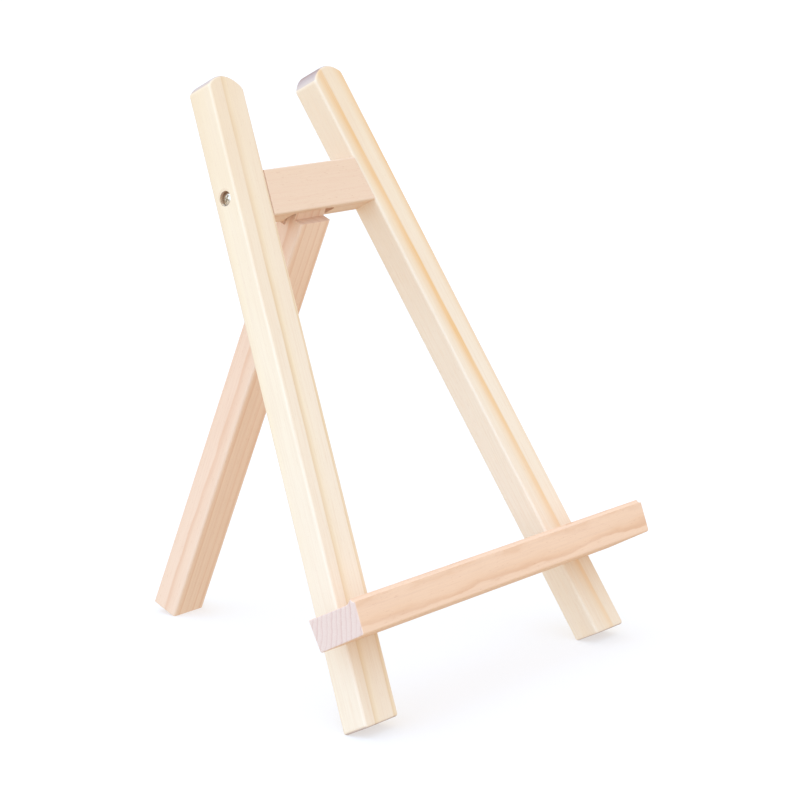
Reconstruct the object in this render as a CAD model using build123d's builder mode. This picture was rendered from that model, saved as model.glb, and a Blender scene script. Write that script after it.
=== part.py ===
from math import atan, cos, pi, radians, sin, tan

from build123d import *

# Wooden plate display stand: a splayed, backward-leaning frame of two uprights and a crossbar,
# a ledge across its front, and a prop that swings on a wire pin in the crossbar's underside.
# Millimetres.  +X is to the viewer's right, +Y to the back, +Z up, the feet stand on Z = 0,
# and the origin is under the centre of the stand's bounding box.

# ---- driving dimensions ----------------------------------------------------------------
# the leaning front frame; heights "up the slope" are measured along its front face
lean = 27.0                 # how far the frame leans back from vertical, degrees
splay = 10.0                # how far each upright leans inward, degrees
foot_spacing = 160.6        # between the uprights' centre lines, at the feet
upright_width = 20.0
upright_depth = 13.0
upright_length = 277.0      # along the centre line, foot to crown
crown_rise = 5.0            # height of the rounded top
crown_round = 2.2           # corners of the rounded top
foot_round = 1.3

crossbar_bottom = 210.0     # up the slope
crossbar_height = 20.0
crossbar_depth = 13.0

ledge_length = 200.0
ledge_bottom = 34.0         # up the slope
ledge_height = 13.0
ledge_depth = 24.5          # along its underside
ledge_overhang = 1.6        # its front face leans out this much to the top
ledge_drop = 0.6            # its underside falls this much to the back
lip_height = 1.7            # raised bead along the ledge's front edge
lip_width = 4.6
lip_fall = 2.9              # width of the slope behind the bead

# the prop and its hinge
prop_lean = 22.6            # how far the open prop leans from vertical, degrees
prop_width = 19.0
prop_depth = 13.5
prop_centre = -4.8          # the prop hangs a little to the left of the middle
tongue_thickness = 4.0
front_shoulder = 4.4        # wood cut away in front of the tongue
shoulder_drop = 4.3         # front shoulder below the pin
back_drop = 8.8             # back shoulder below the pin, clear of the crossbar's back edge
pin_height = 2.6            # pin above the crossbar's underside
pin_inset = 5.2             # pin behind the crossbar's front face
pin_radius = 0.8
pin_chamfer = 0.2
pin_clearance = 0.05        # radial, in the tongue's bore
pin_left = -29.0            # the pin's two ends along X
pin_right = 18.5
slot_centre = -3.5          # slot in the crossbar's underside
slot_length = 27.6
slot_clearance = 0.3        # round the tongue
slot_end_radius = 3.6

# wood screws
shank_radius = 1.5
head_radius = 2.8
head_height = 2.1
head_dome = 0.7
tip_length = 3.0
recess_span = 3.2           # cross recess, tip to tip
recess_width = 0.7
recess_depth = 1.2
bore_radius = 3.2           # counterbore that the head sits in
side_bore_depth = 3.0
side_screw_up = 223.5       # along the upright's centre line
side_screw_length = 30.0
back_bore_depth = 2.5
back_screw_length = 24.0

# eased edges
upright_ease = 1.1
crossbar_ease = 0.7
ledge_ease = 1.0
ledge_right_ease = 1.2      # the right end is sanded rounder than the left
prop_ease = 1.0
end_ease = 0.5

# ---- derived places --------------------------------------------------------------------
a_lean = radians(lean)
a_splay = radians(splay)
a_prop = radians(prop_lean)
prop_front = tongue_thickness / 2 + front_shoulder        # bar's front face, from the pin
prop_back = prop_depth - prop_front

# the eased back edges of the feet stand on Z = 0, which sets the height of the front face
front_z = upright_depth * sin(a_lean) - upright_ease * (sin(a_lean) + cos(a_lean) - 1)

# the pin's height above the floor fixes the prop's length: its front bottom edge is on Z = 0
pin_up = crossbar_bottom + pin_height
pin_z = front_z + pin_up * cos(a_lean) - pin_inset * sin(a_lean)
prop_length = end_ease + (
    pin_z - end_ease - (prop_front - end_ease) * sin(a_prop)
) / cos(a_prop)

# Y of the stand's two ends, from the front face's foot line, give the middle of its depth;
# in front it is the eased lower edge of the ledge, whose corner is wider than a right angle
a_underside = atan(ledge_drop / ledge_depth)
a_overhang = atan(ledge_overhang / ledge_height)
half_corner = (pi / 2 + a_underside + a_overhang) / 2
ease_reach = ledge_ease / sin(half_corner)                # the easing's centre, from the corner
ease_behind = -ledge_depth + ease_reach * cos(half_corner - a_underside)
ease_up = ledge_bottom + ease_reach * sin(half_corner - a_underside)
front_y = ease_up * sin(a_lean) + ease_behind * cos(a_lean) - ledge_ease
back_y = (
    pin_up * sin(a_lean)
    + pin_inset * cos(a_lean)
    + (prop_length - end_ease) * sin(a_prop)
    + (prop_back - end_ease) * cos(a_prop)
    + end_ease
)
middle_y = (front_y + back_y) / 2

# front: the plane of the frame's front face, local x across and local y up the slope
front = Plane(
    origin=(0, -middle_y, front_z),
    x_dir=(1, 0, 0),
    z_dir=(0, -cos(a_lean), sin(a_lean)),
)


def in_frame(across, up, behind):
    """A point of the frame: across, up the slope, and behind the front face."""
    return front.from_local_coords((across, up, -behind))


def side_plane(across):
    """A plane facing +X, its local x running back from the front face and local y up."""
    return Plane(
        origin=in_frame(across, 0, 0),
        x_dir=(0, cos(a_lean), -sin(a_lean)),
        z_dir=(1, 0, 0),
    )


def upright_point(side, along, outward):
    """A point of an upright's front face: along its centre line, and out from it."""
    across = side * (foot_spacing / 2 - along * sin(a_splay) + outward * cos(a_splay))
    return across, along * cos(a_splay) + outward * sin(a_splay)


def inner_edge(up):
    """Distance from the middle to an upright's inner face, at a height up the slope."""
    return foot_spacing / 2 - upright_width / 2 / cos(a_splay) - up * tan(a_splay)


def side_screw_plane(side):
    """Where a crossbar screw enters an upright's outer face; local z points out."""
    across, up = upright_point(side, side_screw_up, upright_width / 2)
    outward = front.x_dir * (side * cos(a_splay)) + front.y_dir * sin(a_splay)
    return Plane(
        origin=in_frame(across, up, upright_depth / 2),
        x_dir=front.z_dir,
        z_dir=outward,
    )


def back_screw_plane(side):
    """Where a ledge screw enters an upright's back face; local z points back."""
    up = ledge_bottom + ledge_height / 2
    across = side * (foot_spacing / 2 - up * tan(a_splay))
    return Plane(
        origin=in_frame(across, up, upright_depth),
        x_dir=front.x_dir,
        z_dir=-front.z_dir,
    )


# ---- uprights --------------------------------------------------------------------------
def make_upright(side, label):
    """A bar with a rounded top, its foot cut level, bored for its two screws."""
    half = upright_width / 2
    foot = half / cos(a_splay)
    outer_foot = (side * (foot_spacing / 2 + foot), 0)
    inner_foot = (side * (foot_spacing / 2 - foot), 0)
    outer_top = upright_point(side, upright_length - crown_rise, half)
    inner_top = upright_point(side, upright_length - crown_rise, -half)
    crown = upright_point(side, upright_length, 0)
    with BuildPart() as upright:
        with BuildSketch(front) as outline:
            with BuildLine():
                Polyline(outer_top, outer_foot, inner_foot, inner_top)
                ThreePointArc(inner_top, crown, outer_top)
            make_face()
            fillet(outline.vertices().sort_by(Axis.Y)[-2:], crown_round)
            fillet(outline.vertices().sort_by(Axis.Y)[:2], foot_round)
        extrude(amount=-upright_depth)
        across_edges = upright.edges().filter_by(Axis(front.origin, front.z_dir))
        fillet(upright.edges() - across_edges, upright_ease)
        with Locations(side_screw_plane(side)):
            CounterBoreHole(shank_radius, bore_radius, side_bore_depth, depth=upright_width)
        with Locations(back_screw_plane(side)):
            CounterBoreHole(shank_radius, bore_radius, back_bore_depth, depth=upright_depth)
    upright.part.label = label
    export_step(upright.part, "parts/" + label + ".step")


make_upright(-1, "left_upright")
make_upright(1, "right_upright")

# ---- ledge: a bar with a low rounded bead along the front of its top --------------------
ledge_top = ledge_bottom + ledge_height
lip_front = -ledge_depth - ledge_overhang
lip_crest = (lip_front + lip_width - lip_fall, ledge_top + lip_height)
with BuildPart() as ledge:
    with BuildSketch(side_plane(-ledge_length / 2)):
        with BuildLine():
            Polyline(
                (lip_front, ledge_top),
                (-ledge_depth, ledge_bottom),
                (0, ledge_bottom - ledge_drop),
                (0, ledge_top),
                (lip_front + lip_width, ledge_top),
                lip_crest,
            )
            RadiusArc(lip_crest, (lip_front, ledge_top), lip_height)
        make_face()
    extrude(amount=ledge_length)
    long_edges = ledge.edges().filter_by(Axis.X)
    fillet(long_edges.sort_by(Axis(front.origin, front.y_dir))[:2], ledge_ease)
    for end, ease in ((0, end_ease), (-1, ledge_right_ease)):
        fillet(ledge.faces().sort_by(Axis.X)[end].edges(), ease)
    for side in (-1, 1):
        entry = back_screw_plane(side)
        with Locations(Plane(
            origin=entry.origin + front.z_dir * upright_depth,
            x_dir=front.x_dir,
            z_dir=-front.z_dir,
        )):
            Hole(shank_radius, depth=back_screw_length - upright_depth + back_bore_depth)
ledge.part.label = "ledge"
export_step(ledge.part, "parts/ledge.step")

# ---- crossbar: fits between the uprights, slotted underneath for the prop's tongue -------
slot_radius = tongue_thickness / 2 + slot_clearance
open_angle = a_lean + a_prop                              # prop from the frame's own slope
slot_back = pin_inset + slot_radius * cos(open_angle) + (
    pin_height + slot_radius * sin(open_angle)
) * tan(open_angle)
below = 1.0                                               # the cutter runs past the underside

with BuildPart() as slot_section:
    # side view: an upright front wall, a round top about the pin, and a back wall that
    # slopes with the open prop and stops it
    pin_at = (pin_inset, pin_up)
    wall_foot = (pin_inset - slot_radius, crossbar_bottom - below)
    wall_top = (pin_inset - slot_radius, pin_up)
    crest = (pin_inset, pin_up + slot_radius)
    slope_top = (
        pin_inset + slot_radius * cos(open_angle),
        pin_up + slot_radius * sin(open_angle),
    )
    slope_foot = (slot_back + below * tan(open_angle), crossbar_bottom - below)
    with BuildSketch(side_plane(slot_centre - slot_length / 2)):
        with BuildLine():
            Line(wall_foot, wall_top)
            ThreePointArc(wall_top, crest, slope_top)
            Polyline(slope_top, slope_foot, wall_foot)
        make_face()
    extrude(amount=slot_length)
    # plan view: a slot with rounded ends
    slot_front = pin_inset - slot_radius
    slot_middle = (slot_front + slot_back) / 2
    with BuildSketch(Plane(
        origin=in_frame(slot_centre, crossbar_bottom - below, slot_middle),
        x_dir=front.x_dir,
        z_dir=front.y_dir,
    )):
        RectangleRounded(slot_length, slot_back - slot_front, slot_end_radius)
    extrude(amount=crossbar_height / 2, mode=Mode.INTERSECT)

with BuildPart() as crossbar:
    crossbar_top = crossbar_bottom + crossbar_height
    with BuildSketch(front):
        Polygon(
            (-inner_edge(crossbar_bottom), crossbar_bottom),
            (inner_edge(crossbar_bottom), crossbar_bottom),
            (inner_edge(crossbar_top), crossbar_top),
            (-inner_edge(crossbar_top), crossbar_top),
            align=None,
        )
    extrude(amount=-crossbar_depth)
    fillet(crossbar.edges().filter_by(Axis.X), crossbar_ease)
    add(slot_section.part, mode=Mode.SUBTRACT)
    for side in (-1, 1):
        entry = side_screw_plane(side)
        with Locations(Plane(
            origin=entry.origin - entry.z_dir * upright_width,
            x_dir=entry.x_dir,
            z_dir=entry.z_dir,
        )):
            Hole(shank_radius, depth=side_screw_length - upright_width + side_bore_depth)
    # blind bore for the pin, drilled from the left end
    bore_start = -inner_edge(crossbar_bottom)
    with BuildSketch(side_plane(bore_start)):
        with Locations(pin_at):
            Circle(pin_radius)
    extrude(amount=pin_right - bore_start, mode=Mode.SUBTRACT)
crossbar.part.label = "crossbar"
export_step(crossbar.part, "parts/crossbar.step")

# ---- hinge pin --------------------------------------------------------------------------
with BuildPart() as hinge_pin:
    with BuildSketch(side_plane(pin_left)):
        with Locations(pin_at):
            Circle(pin_radius)
    extrude(amount=pin_right - pin_left)
    chamfer(hinge_pin.edges().filter_by(GeomType.CIRCLE), pin_chamfer)
hinge_pin.part.label = "hinge_pin"
export_step(hinge_pin.part, "parts/hinge_pin.step")

# ---- prop: a square bar whose top is cut down to a round-ended tongue about the pin ------
pin_point = in_frame(prop_centre - prop_width / 2, pin_up, pin_inset)
prop_plane = Plane(
    origin=pin_point,
    x_dir=(0, cos(a_prop), sin(a_prop)),
    z_dir=(1, 0, 0),
)
with BuildPart() as prop_leg:
    with BuildSketch(prop_plane):
        with BuildLine():
            Polyline(
                (-prop_front, -prop_length),
                (prop_back, -prop_length),
                (prop_back, -shoulder_drop),
                (-prop_front, -shoulder_drop),
                close=True,
            )
        make_face()
    extrude(amount=prop_width)
    up_the_prop = Axis(prop_plane.origin, prop_plane.y_dir)
    fillet(prop_leg.edges().filter_by(up_the_prop), prop_ease)
    fillet(prop_leg.faces().sort_by(up_the_prop)[0].edges(), end_ease)
    # the back shoulder is cut lower than the front one
    half_tongue = tongue_thickness / 2
    with BuildSketch(prop_plane):
        with Locations((half_tongue, -back_drop)):
            Rectangle(prop_depth, back_drop, align=(Align.MIN, Align.MIN))
    extrude(amount=prop_width, mode=Mode.SUBTRACT)
    with BuildSketch(prop_plane):
        with Locations((0, -back_drop)):
            Rectangle(tongue_thickness, back_drop, align=(Align.CENTER, Align.MIN))
        Circle(half_tongue)
        Circle(pin_radius + pin_clearance, mode=Mode.SUBTRACT)
    extrude(amount=prop_width)
prop_leg.part.label = "prop_leg"
export_step(prop_leg.part, "parts/prop_leg.step")


# ---- wood screws ------------------------------------------------------------------------
def make_screw(entry, seat_depth, length, label):
    """A cross-head wood screw, sunk seat_depth below the face that its entry plane lies on."""
    seat = -seat_depth                                    # underside of the head, local z
    rim = seat + head_height - head_dome
    dome_radius = (head_radius**2 + head_dome**2) / (2 * head_dome)
    profile = Plane(origin=entry.origin, x_dir=entry.x_dir, z_dir=-entry.y_dir)
    with BuildPart() as screw:
        with BuildSketch(profile):
            with BuildLine():
                Polyline(
                    (0, seat + head_height),
                    (0, seat - length),
                    (shank_radius, seat - length + tip_length),
                    (shank_radius, seat),
                    (head_radius, seat),
                    (head_radius, rim),
                )
                RadiusArc((head_radius, rim), (0, seat + head_height), -dome_radius)
            make_face()
        revolve(axis=Axis(entry.origin, entry.z_dir))
        with BuildSketch(entry.offset(seat + head_height + recess_depth)):
            Rectangle(recess_span, recess_width, rotation=45)
            Rectangle(recess_width, recess_span, rotation=45)
        extrude(amount=-2 * recess_depth, mode=Mode.SUBTRACT)
    screw.part.label = label
    export_step(screw.part, "parts/" + label + ".step")


for side, name in ((-1, "left"), (1, "right")):
    make_screw(side_screw_plane(side), side_bore_depth, side_screw_length, "crossbar_screw_" + name)
    make_screw(back_screw_plane(side), back_bore_depth, back_screw_length, "ledge_screw_" + name)
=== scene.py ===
import math

import bpy
from mathutils import Matrix, Vector


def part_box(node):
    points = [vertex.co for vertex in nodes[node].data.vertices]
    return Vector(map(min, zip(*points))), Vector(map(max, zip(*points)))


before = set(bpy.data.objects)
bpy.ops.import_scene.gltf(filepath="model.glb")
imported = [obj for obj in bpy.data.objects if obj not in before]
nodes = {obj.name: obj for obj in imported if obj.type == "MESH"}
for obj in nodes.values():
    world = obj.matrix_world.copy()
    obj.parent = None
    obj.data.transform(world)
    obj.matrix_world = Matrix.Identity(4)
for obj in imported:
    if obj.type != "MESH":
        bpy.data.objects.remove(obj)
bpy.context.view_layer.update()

# Looks for the wooden plate stand.  Metres, in the CAD frame; wood patterns are worked out in
# millimetres along, across and through each bar.
MM = 0.001
WOOD_RELIEF = 0.06 * MM
METAL_RELIEF = 0.03 * MM
# the darker bore wall round each screw is painted shade
BORE_WALL = (3.3, 3.6)           # the dark wall fades out between these radii, in millimetres

# ---- the stand's angles, as in the CAD source -------------------------------------------
LEAN = math.radians(27.0)        # the frame leans back
SPLAY = math.radians(10.0)       # each upright leans inward
PROP = math.radians(22.6)        # the open prop leans from vertical

sideways = Vector((1, 0, 0))
up_frame = Vector((0, math.sin(LEAN), math.cos(LEAN)))


def upright_axes(side):
    """Directions along and across an upright; side is -1 for the left one."""
    along = up_frame * math.cos(SPLAY) - sideways * side * math.sin(SPLAY)
    across = sideways * math.cos(SPLAY) + up_frame * side * math.sin(SPLAY)
    return along, across


def srgb(*levels):
    """An sRGB colour, 0 to 255, as the linear RGBA that a shader takes."""
    shares = [level / 255 for level in levels]
    linear = [s / 12.92 if s <= 0.04045 else ((s + 0.055) / 1.055) ** 2.4 for s in shares]
    return (*linear, 1)


# ---- shader helper ----------------------------------------------------------------------
class Graph:
    """Adds nodes to a material's or world's tree; an input is a value or another's output."""

    def __init__(self, owner):
        owner.use_nodes = True
        self.owner = owner
        self.tree = owner.node_tree
        self.tree.nodes.clear()

    def add(self, kind, inputs=None, **settings):
        made = self.tree.nodes.new(kind)
        for key, value in settings.items():
            setattr(made, key, value)
        for key, value in (inputs or {}).items():
            if isinstance(value, bpy.types.NodeSocket):
                self.tree.links.new(value, made.inputs[key])
            else:
                made.inputs[key].default_value = value
        return made

    def math(self, operation, first, second=0.0, third=0.0, clamp=False):
        inputs = {0: first, 1: second, 2: third}
        return self.add("ShaderNodeMath", inputs, operation=operation, use_clamp=clamp).outputs[0]

    def vector(self, operation, first, second=(0, 0, 0)):
        made = self.add("ShaderNodeVectorMath", {0: first, 1: second}, operation=operation)
        return made.outputs["Value" if operation == "DOT_PRODUCT" else "Vector"]

    def noise(self, place, stretch, detail=2.0, rough=0.5):
        """Noise from 0 to 1 whose features are about stretch millimetres long on each axis."""
        placed = self.vector("MULTIPLY", place, tuple(1 / s for s in stretch))
        inputs = {"Vector": placed, "Scale": 1.0, "Detail": detail, "Roughness": rough}
        return self.add("ShaderNodeTexNoise", inputs).outputs["Fac"]

    def ramp(self, factor, stops):
        """A grey value that runs straight between (position, value) stops."""
        made = self.add("ShaderNodeValToRGB", {"Fac": factor})
        points = made.color_ramp.elements
        for position, _ in stops[len(points):]:
            points.new(position)
        for point, (position, value) in zip(points, stops):
            point.position = position
            point.color = (value, value, value, 1)
        return made.outputs["Color"]

    def step(self, value, low, high, bottom=0.0, top=1.0):
        """Runs smoothly from bottom, where value is low, to top, where it is high."""
        inputs = {"Value": value, "From Min": low, "From Max": high, "To Min": bottom, "To Max": top}
        made = self.add("ShaderNodeMapRange", inputs, interpolation_type="SMOOTHSTEP")
        return made.outputs["Result"]

    def mix(self, factor, first, second):
        """The first colour where the factor is 0, the second where it is 1."""
        inputs = {"Factor": factor, "A": first, "B": second}
        return self.add("ShaderNodeMix", inputs, data_type="RGBA").outputs["Result"]

    def bump(self, height, strength, depth):
        """A surface normal tilted by the height, whose full relief is depth metres."""
        inputs = {"Height": height, "Strength": strength, "Distance": depth}
        return self.add("ShaderNodeBump", inputs).outputs["Normal"]

    def finish(self, surface):
        """Ends a material with a Principled shader and returns the material."""
        shader = self.add("ShaderNodeBsdfPrincipled", surface)
        self.add("ShaderNodeOutputMaterial", {"Surface": shader.outputs[0]})
        return self.owner


# ---- wood -------------------------------------------------------------------------------
# Across one growth ring, from 0 at its inside to 1: "ramp" is how far the colour has turned to
# late wood and "line" is its dark line.  "early", "mid", "late" and "dark" are those colours.
# "streak", "hair", "cloud", "fleck" and "edge" are strengths, from 0 to 1.
# "wander" and "waver" are how far a ring strays, in millimetres, slowly and quickly along the bar.
# "slope" leans the pith, "fade" weakens the rings toward the lower end, and "ring_change" is how
# much one ring's strength differs from the next.
PINE = {
    "ramp": [(0.0, 0.0), (0.45, 0.08), (0.7, 0.3), (0.83, 0.65), (0.94, 1.0), (0.97, 1.0), (1.0, 0.0)],
    "line": [(0.0, 0.25), (0.04, 0.0), (0.76, 0.0), (0.93, 0.6), (0.965, 1.0), (1.0, 0.25)],
    "early": srgb(242, 224, 201),
    "late": srgb(237, 208, 166),
    "dark": srgb(215, 180, 134),
    "mid": srgb(241, 219, 184),
    "streak": 0.42,
    "streak_colour": srgb(235, 211, 183),
    "hair": 0.14,
    "cloud": 0.3,
    "cloud_colour": srgb(246, 231, 207),
    "fleck": 0.14,
    "fleck_colour": srgb(206, 166, 128),
    "end": srgb(206, 190, 184),
    "end_late": srgb(196, 172, 160),
    "end_dark": srgb(172, 146, 138),
    # paler long edges: partly sanding wear, partly a painted highlight
    "edge": 0.35,
    "edge_colour": srgb(246, 232, 212),
    "wander": 1.2,
    "wander_length": 120,
    "waver": 0.5,
    "bump": 0.4,
    "ring_change": 0.3,
    # painted shade: the upright turns darker and yellower toward its upper end, standing in for the
    # brighter light near the floor
    "top_tone": 0.55,            # how far the bar turns yellower toward its upper end
    "top_span": (-30.0, 140.0),  # millimetres from the bar's middle, where it starts and is full
    "top_colour": srgb(237, 211, 176),
    # painted shade on the wall of each screw recess
    "bore_colour": srgb(196, 156, 120),
}
BEECH = {
    "ramp": [(0.0, 0.0), (0.4, 0.25), (0.85, 0.8), (0.95, 1.0), (1.0, 0.0)],
    "line": [(0.0, 0.2), (0.1, 0.0), (0.7, 0.0), (0.92, 0.5), (1.0, 0.2)],
    "early": srgb(242, 212, 186),
    "late": srgb(236, 199, 169),
    "dark": srgb(222, 176, 141),
    "mid": srgb(240, 209, 182),
    "streak": 0.35,
    "streak_colour": srgb(232, 196, 168),
    "hair": 0.18,
    "cloud": 0.35,
    "cloud_colour": srgb(245, 214, 188),
    "fleck": 0.25,
    "fleck_colour": srgb(206, 156, 122),
    # paler long edges: partly sanding wear, partly a painted highlight
    "edge": 0.3,
    "edge_colour": srgb(240, 219, 198),
    "wander": 2.0,
    "wander_length": 90,
    "waver": 1.2,
    "slope": 0.0,
    "fade": 0.0,
    "bump": 0.35,
    "ring_change": 0.8,
}
# "size" is along, across and through the bar; "pith" is across and through from its middle;
# one ring ends at a distance of "ring_at" from the pith, and rings are "spacing" apart
upright_size = (277, 20, 13)
bars = {
    "left_upright": dict(
        PINE,
        axes=upright_axes(-1),
        size=upright_size,
        pith=(34.0, -9.0),
        ring_at=37.0,
        spacing=11.3,
        slope=-0.008,
        fade=0.30,
    ),
    "right_upright": dict(
        PINE,
        axes=upright_axes(1),
        size=upright_size,
        pith=(-38.0, 0.0),
        ring_at=38.0,
        spacing=13.0,
        slope=0.019,
        fade=0.5,
        late=srgb(241, 198, 126),
        dark=srgb(233, 170, 80),
        line=[(0.0, 0.25), (0.06, 0.0), (0.5, 0.0), (0.72, 0.45), (0.84, 1.0), (0.96, 1.0), (1.0, 0.25)],
    ),
    "crossbar": dict(
        BEECH,
        axes=(sideways, up_frame),
        size=(66, 20, 13),
        pith=(-6.0, -60.0),
        ring_at=22.0,
        spacing=7.0,
        early=srgb(236, 207, 180),
        mid=srgb(235, 205, 176),
        late=srgb(232, 198, 168),
        cloud_colour=srgb(239, 210, 183),
        end=srgb(234, 202, 176),
        end_late=srgb(230, 195, 168),
        end_dark=srgb(220, 180, 152),
    ),
    "prop_leg": dict(
        BEECH,
        axes=(Vector((0, -math.sin(PROP), math.cos(PROP))), sideways),
        size=(208, 19, 13.5),
        pith=(-40.0, -22.0),
        ring_at=20.0,
        spacing=4.3,
        dark=srgb(228, 184, 150),
        end=srgb(232, 200, 174),
        end_late=srgb(228, 194, 167),
        end_dark=srgb(218, 180, 154),
    ),
    "ledge": dict(
        BEECH,
        axes=(sideways, up_frame),
        size=(200, 15, 26),
        pith=(24.6, -49.2),
        ring_at=20.0,
        spacing=2.4,
        waver=2.0,
        early=srgb(243, 208, 178),
        mid=srgb(240, 203, 171),
        late=srgb(236, 194, 158),
        cloud_colour=srgb(246, 212, 182),
        end=srgb(234, 213, 200),
        end_late=srgb(231, 206, 192),
        end_dark=srgb(214, 178, 166),
    ),
}


def bar_space(graph, centre, axes):
    """Millimetres along, across and through a bar from its middle, and its normal there."""
    along, across = axes
    through = along.cross(across)
    turn = Matrix((along, across, through)).transposed().to_euler()
    coords = graph.add("ShaderNodeTexCoord")
    placing = {"Vector": coords.outputs["Object"], "Location": centre, "Rotation": turn}
    placing["Scale"] = (MM, MM, MM)
    facing = {"Vector": coords.outputs["Normal"], "Rotation": turn}
    place = graph.add("ShaderNodeMapping", placing, vector_type="TEXTURE").outputs["Vector"]
    normal = graph.add("ShaderNodeMapping", facing, vector_type="TEXTURE").outputs["Vector"]
    return place, normal


def growth_rings(g, place, look):
    """How much late wood, and how much dark line, there is at each point, from 0 to 1."""
    x, y, z = g.add("ShaderNodeSeparateXYZ", {"Vector": place}).outputs
    pith_y, pith_z = look["pith"]
    dy = g.math("MULTIPLY_ADD", x, look["slope"], g.math("SUBTRACT", y, pith_y))
    dz = g.math("SUBTRACT", z, pith_z)
    radius = g.math("SQRT", g.math("MULTIPLY_ADD", dy, dy, g.math("MULTIPLY", dz, dz)))
    wander = g.noise(place, (look["wander_length"], 45, 45), detail=1.0)
    waver = g.noise(place, (34, 7, 7), detail=2.0)
    ripple = g.noise(place, (13, 2.2, 2.2), detail=3.0, rough=0.6)
    strays = ((wander, look["wander"]), (waver, look["waver"]), (ripple, look["waver"] * 0.4))
    for stray, distance in strays:
        radius = g.math("MULTIPLY_ADD", g.math("SUBTRACT", stray, 0.5), distance, radius)
    turns = g.math("DIVIDE", g.math("SUBTRACT", radius, look["ring_at"]), look["spacing"])
    phase = g.math("FRACT", turns)
    number = {"W": g.math("FLOOR", turns)}
    ring = g.add("ShaderNodeTexWhiteNoise", number, noise_dimensions="1D").outputs["Value"]

    # rings differ, and fade in and out along the bar
    patch = g.noise(place, (60, 25, 25), detail=1.0)
    half_length = look["size"][0] / 2
    toward_top = g.math("MULTIPLY_ADD", x, look["fade"] / half_length, 1.0 - look["fade"] / 2)
    strength = g.math("MULTIPLY", g.math("MULTIPLY_ADD", patch, 0.9, 0.5), toward_top)
    change = look["ring_change"]
    strength = g.math("MULTIPLY", strength, g.math("MULTIPLY_ADD", ring, change, 1 - change / 2))
    late = g.math("MULTIPLY", g.ramp(phase, look["ramp"]), strength, clamp=True)
    line = g.math("MULTIPLY", g.ramp(phase, look["line"]), strength, clamp=True)
    return late, line


def long_grain(g, place, look, late, line, fibre, fine):
    """The colour of a sawn face: ring tone, then clouds, streaks, hair-fine fibres and flecks."""
    colour = g.mix(g.math("MULTIPLY", late, 2.0, clamp=True), look["early"], look["mid"])
    deep = g.math("MULTIPLY_ADD", late, 2.0, -1.0, clamp=True)
    colour = g.mix(deep, colour, look["late"])
    colour = g.mix(line, colour, look["dark"])
    # painted shade: darker and yellower toward the upper end, standing in for the brighter light near
    # the floor
    if "top_tone" in look:
        x = g.add("ShaderNodeSeparateXYZ", {"Vector": place}).outputs[0]
        top_shade_share = g.step(x, *look["top_span"], bottom=0.0, top=look["top_tone"])
        colour = g.mix(top_shade_share, colour, look["top_colour"])
    cloud = g.step(g.noise(place, (60, 14, 14)), 0.35, 0.7)
    colour = g.mix(g.math("MULTIPLY", cloud, look["cloud"]), colour, look["cloud_colour"])
    streak = g.math("MULTIPLY", g.step(fibre, 0.42, 0.7), look["streak"])
    colour = g.mix(streak, colour, look["streak_colour"])
    hair = g.math("MULTIPLY", g.step(fine, 0.5, 0.75), look["hair"])
    colour = g.mix(hair, colour, look["dark"])
    specks = g.noise(place, (2.6, 0.45, 0.45), detail=1.0)
    fleck = g.math("MULTIPLY", g.step(specks, 0.66, 0.74), look["fleck"])
    return g.mix(fleck, colour, look["fleck_colour"])


def sanded_and_highlit_edges(g, place, look, colour):
    """Makes the bar's long edges a little paler, unevenly: partly sanding wear and partly a painted
    highlight on the eased edges.
    """
    _, y, z = g.add("ShaderNodeSeparateXYZ", {"Vector": place}).outputs
    _, half_y, half_z = (size / 2 for size in look["size"])
    gap_y = g.math("SUBTRACT", half_y, g.math("ABSOLUTE", y))
    gap_z = g.math("SUBTRACT", half_z, g.math("ABSOLUTE", z))
    uneven = g.noise(place, (7, 2, 2), detail=3.0)
    near = g.math("MULTIPLY_ADD", uneven, 0.8, g.math("MAXIMUM", gap_y, gap_z))
    # paler long edges: partly sanding wear, partly a painted highlight
    edge = g.step(near, 0.5, 1.6, bottom=look["edge"], top=0.0)
    return g.mix(edge, colour, look["edge_colour"])


def bore_walls(g, place, look, colour, bores):
    """Paints shade, a darker brown, on the wall that the bit leaves round each screw, below the surface.
    """
    parts = g.add("ShaderNodeSeparateXYZ", {"Vector": place}).outputs
    for across_bore, depth, centre, reach in bores:
        offsets = [g.math("SUBTRACT", parts[axis], centre[axis]) for axis in across_bore]
        squares = [g.math("MULTIPLY", offset, offset) for offset in offsets]
        distance = g.math("SQRT", g.math("ADD", *squares))
        inside = g.step(distance, *BORE_WALL, bottom=1.0, top=0.0)
        height = g.math("ABSOLUTE", parts[depth])
        buried = g.step(height, reach - 1.6, reach - 0.1, bottom=1.0, top=0.0)
        # painted shade: the recess wall darker below the surface round each screw
        bore_shade = g.math("MULTIPLY", g.math("MULTIPLY", inside, buried), 0.85)
        colour = g.mix(bore_shade, colour, look["bore_colour"])
    return colour


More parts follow.
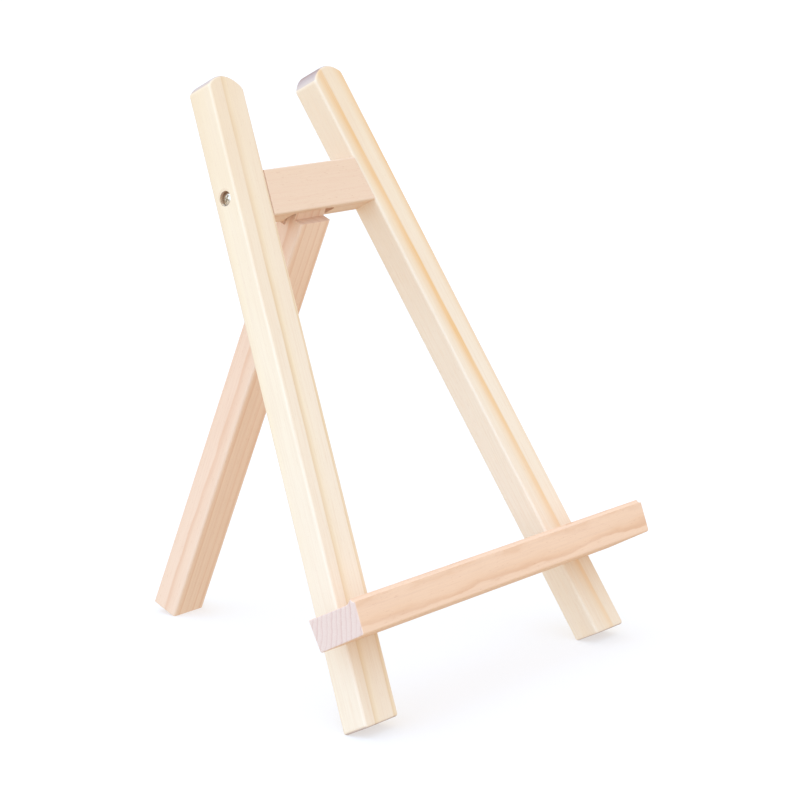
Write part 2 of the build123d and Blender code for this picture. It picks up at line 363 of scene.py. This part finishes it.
def wood(name, centre, look, bores):
    """Solid sawn wood: growth rings about a pith that runs beside the bar, fibres, end grain."""
    g = Graph(bpy.data.materials.new(name))
    place, facing = bar_space(g, centre, look["axes"])
    late, line = growth_rings(g, place, look)
    fibre = g.noise(place, (30, 0.7, 0.7), detail=3.0, rough=0.55)
    fine = g.noise(place, (9, 0.22, 0.22), detail=3.0, rough=0.6)
    colour = long_grain(g, place, look, late, line, fibre, fine)
    colour = sanded_and_highlit_edges(g, place, look, colour)

    # end grain: greyer, with open pores, where the surface faces along the bar
    along_bar = g.add("ShaderNodeSeparateXYZ", {"Vector": facing}).outputs[0]
    end = g.step(g.math("ABSOLUTE", along_bar), 0.45, 0.85)
    pore = g.step(g.noise(place, (1.2, 0.3, 0.3), detail=2.0, rough=0.7), 0.38, 0.68)
    end_colour = g.mix(late, look["end"], look["end_late"])
    end_colour = g.mix(line, end_colour, look["end_dark"])
    end_colour = g.mix(g.math("MULTIPLY", pore, 0.25), end_colour, look["end_dark"])
    colour = g.mix(end, colour, end_colour)
    colour = bore_walls(g, place, look, colour, bores)

    # relief: fibres stand up, late wood is harder and stands proud, pores are open
    relief = g.math("MULTIPLY_ADD", fine, 0.55, g.math("MULTIPLY", fibre, 0.6))
    relief = g.math("MULTIPLY_ADD", late, 0.35, relief)
    relief = g.math("MULTIPLY_ADD", g.math("MULTIPLY", pore, end), -1.2, relief)
    roughness = g.math("MULTIPLY_ADD", fibre, 0.14, 0.52)
    roughness = g.math("MULTIPLY_ADD", end, 0.14, roughness)
    roughness = g.math("MULTIPLY_ADD", late, -0.08, roughness)
    return g.finish({
        "Base Color": colour,
        "Roughness": roughness,
        "Specular IOR Level": 0.3,
        "Normal": g.bump(relief, look["bump"], WOOD_RELIEF),
    })


def middle(node):
    """The middle of a node's box."""
    low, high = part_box(node)
    return (low + high) / 2


def screw_bores(node, look):
    """Where the stand's own screws enter an upright, in the bar's own millimetres."""
    if "upright" not in node:
        return []
    along, across = look["axes"]
    turn = Matrix((along, across, along.cross(across)))
    side = node.split("_")[0]
    found = []
    for screw, across_bore, depth in (("crossbar_screw_", (0, 2), 1), ("ledge_screw_", (0, 1), 2)):
        place = turn @ (middle(screw + side) - middle(node)) / MM
        found.append((across_bore, depth, place, look["size"][depth] / 2))
    return found


for node, look in bars.items():
    finish = wood(node + "_wood", middle(node), look, screw_bores(node, look))
    nodes[node].material_slots[0].material = finish


# ---- metal ------------------------------------------------------------------------------
def metal(name, colour, tarnish, roughness):
    """Plated or drawn steel, with blotches of tarnish and fine scratches."""
    g = Graph(bpy.data.materials.new(name))
    coords = g.add("ShaderNodeTexCoord").outputs["Object"]
    place = g.vector("MULTIPLY", coords, (1 / MM, 1 / MM, 1 / MM))
    worn = g.step(g.noise(place, (1.4, 1.4, 1.4), detail=3.0), 0.4, 0.7)
    scratch = g.noise(place, (0.12, 1.1, 0.5))
    mixed = g.mix(g.math("MULTIPLY", worn, 0.6), colour, tarnish)
    rough = g.math("MULTIPLY_ADD", scratch, 0.08, g.math("MULTIPLY_ADD", worn, 0.15, roughness))
    return g.finish({
        "Base Color": mixed,
        "Metallic": 1.0,
        "Roughness": rough,
        "Normal": g.bump(scratch, 0.25, METAL_RELIEF),
    })


zinc = metal("bright_zinc", srgb(232, 224, 210), srgb(190, 176, 155), 0.2)
wire = metal("drawn_wire", srgb(178, 178, 180), srgb(140, 136, 132), 0.3)
for node, thing in nodes.items():
    if node not in bars:
        thing.material_slots[0].material = wire if node == "hinge_pin" else zinc

# ---- floor ------------------------------------------------------------------------------
FLOOR_HALF = 20.0                # so wide that its edge is out of every view
floor_mesh = bpy.data.meshes.new("floor")
floor_mesh.from_pydata(
    [(x * FLOOR_HALF, y * FLOOR_HALF, 0) for x, y in ((-1, -1), (1, -1), (1, 1), (-1, 1))],
    [],
    [(0, 1, 2, 3)],
)
floor = bpy.data.objects.new("floor", floor_mesh)
bpy.context.scene.collection.objects.link(floor)
# partly self-lit, so that the shadows on it stay faint
floor_mesh.materials.append(Graph(bpy.data.materials.new("white_paper")).finish({
    "Base Color": (0.45, 0.45, 0.45, 1),
    "Roughness": 0.9,
    "Emission Color": (1, 1, 1, 1),
    "Emission Strength": 0.5,
}))
# the light from below comes from the lower half of the sky, so the floor stays out of its way
floor.visible_diffuse = False
floor.visible_glossy = False
floor.visible_shadow = False

# ---- light: a soft white room, brighter and cooler from the upper left ------------------
KEY = Vector((-0.80, -0.10, 0.60)).normalized()
ROOM = (0.89, 0.78, 0.64, 1)
KEY_SIDE = (1.50, 1.88, 2.45, 1)          # the room's colour straight toward the key
BELOW = (0.79, 0.735, 0.66, 1)
HORIZON = 0.06                   # half the height over which the lower colour gives way
world = Graph(bpy.data.worlds.new("studio"))
bpy.context.scene.world = world.owner
direction = world.add("ShaderNodeTexCoord").outputs["Generated"]
height = world.add("ShaderNodeSeparateXYZ", {"Vector": direction}).outputs["Z"]
lit = world.math("MAXIMUM", world.vector("DOT_PRODUCT", direction, tuple(KEY)), 0.0)
above = world.mix(lit, ROOM, KEY_SIDE)
sky = world.mix(world.step(height, -HORIZON, HORIZON), BELOW, above)
glow = world.add("ShaderNodeBackground", {"Color": sky, "Strength": 1.0})
world.add("ShaderNodeOutputWorld", {"Surface": glow.outputs[0]})

settings = bpy.context.scene.view_settings
settings.view_transform = "Standard"
settings.look = "None"

# ---- camera -----------------------------------------------------------------------------
AZIMUTH = math.radians(-51.74)
ELEVATION = math.radians(11.80)
ROLL = math.radians(0.15)
AIM = Vector((-0.0073, -0.0429, 0.1192))
DISTANCE = 1.07
FOCAL_LENGTH = 115.6             # millimetres, on Blender's 36 mm sensor
SHIFT = (-0.0050, -0.0085)
back = Vector((
    math.sin(AZIMUTH) * math.cos(ELEVATION),
    -math.cos(AZIMUTH) * math.cos(ELEVATION),
    math.sin(ELEVATION),
))
level = Vector((math.cos(AZIMUTH), math.sin(AZIMUTH), 0))
rise = back.cross(level)
right = level * math.cos(ROLL) + rise * math.sin(ROLL)
up = rise * math.cos(ROLL) - level * math.sin(ROLL)
lens = bpy.data.cameras.new("camera")
lens.lens = FOCAL_LENGTH
lens.shift_x, lens.shift_y = SHIFT
camera = bpy.data.objects.new("camera", lens)
turned = Matrix((right, up, back)).transposed().to_4x4()
camera.matrix_world = Matrix.Translation(AIM + back * DISTANCE) @ turned
bpy.context.scene.collection.objects.link(camera)
bpy.context.scene.camera = camera
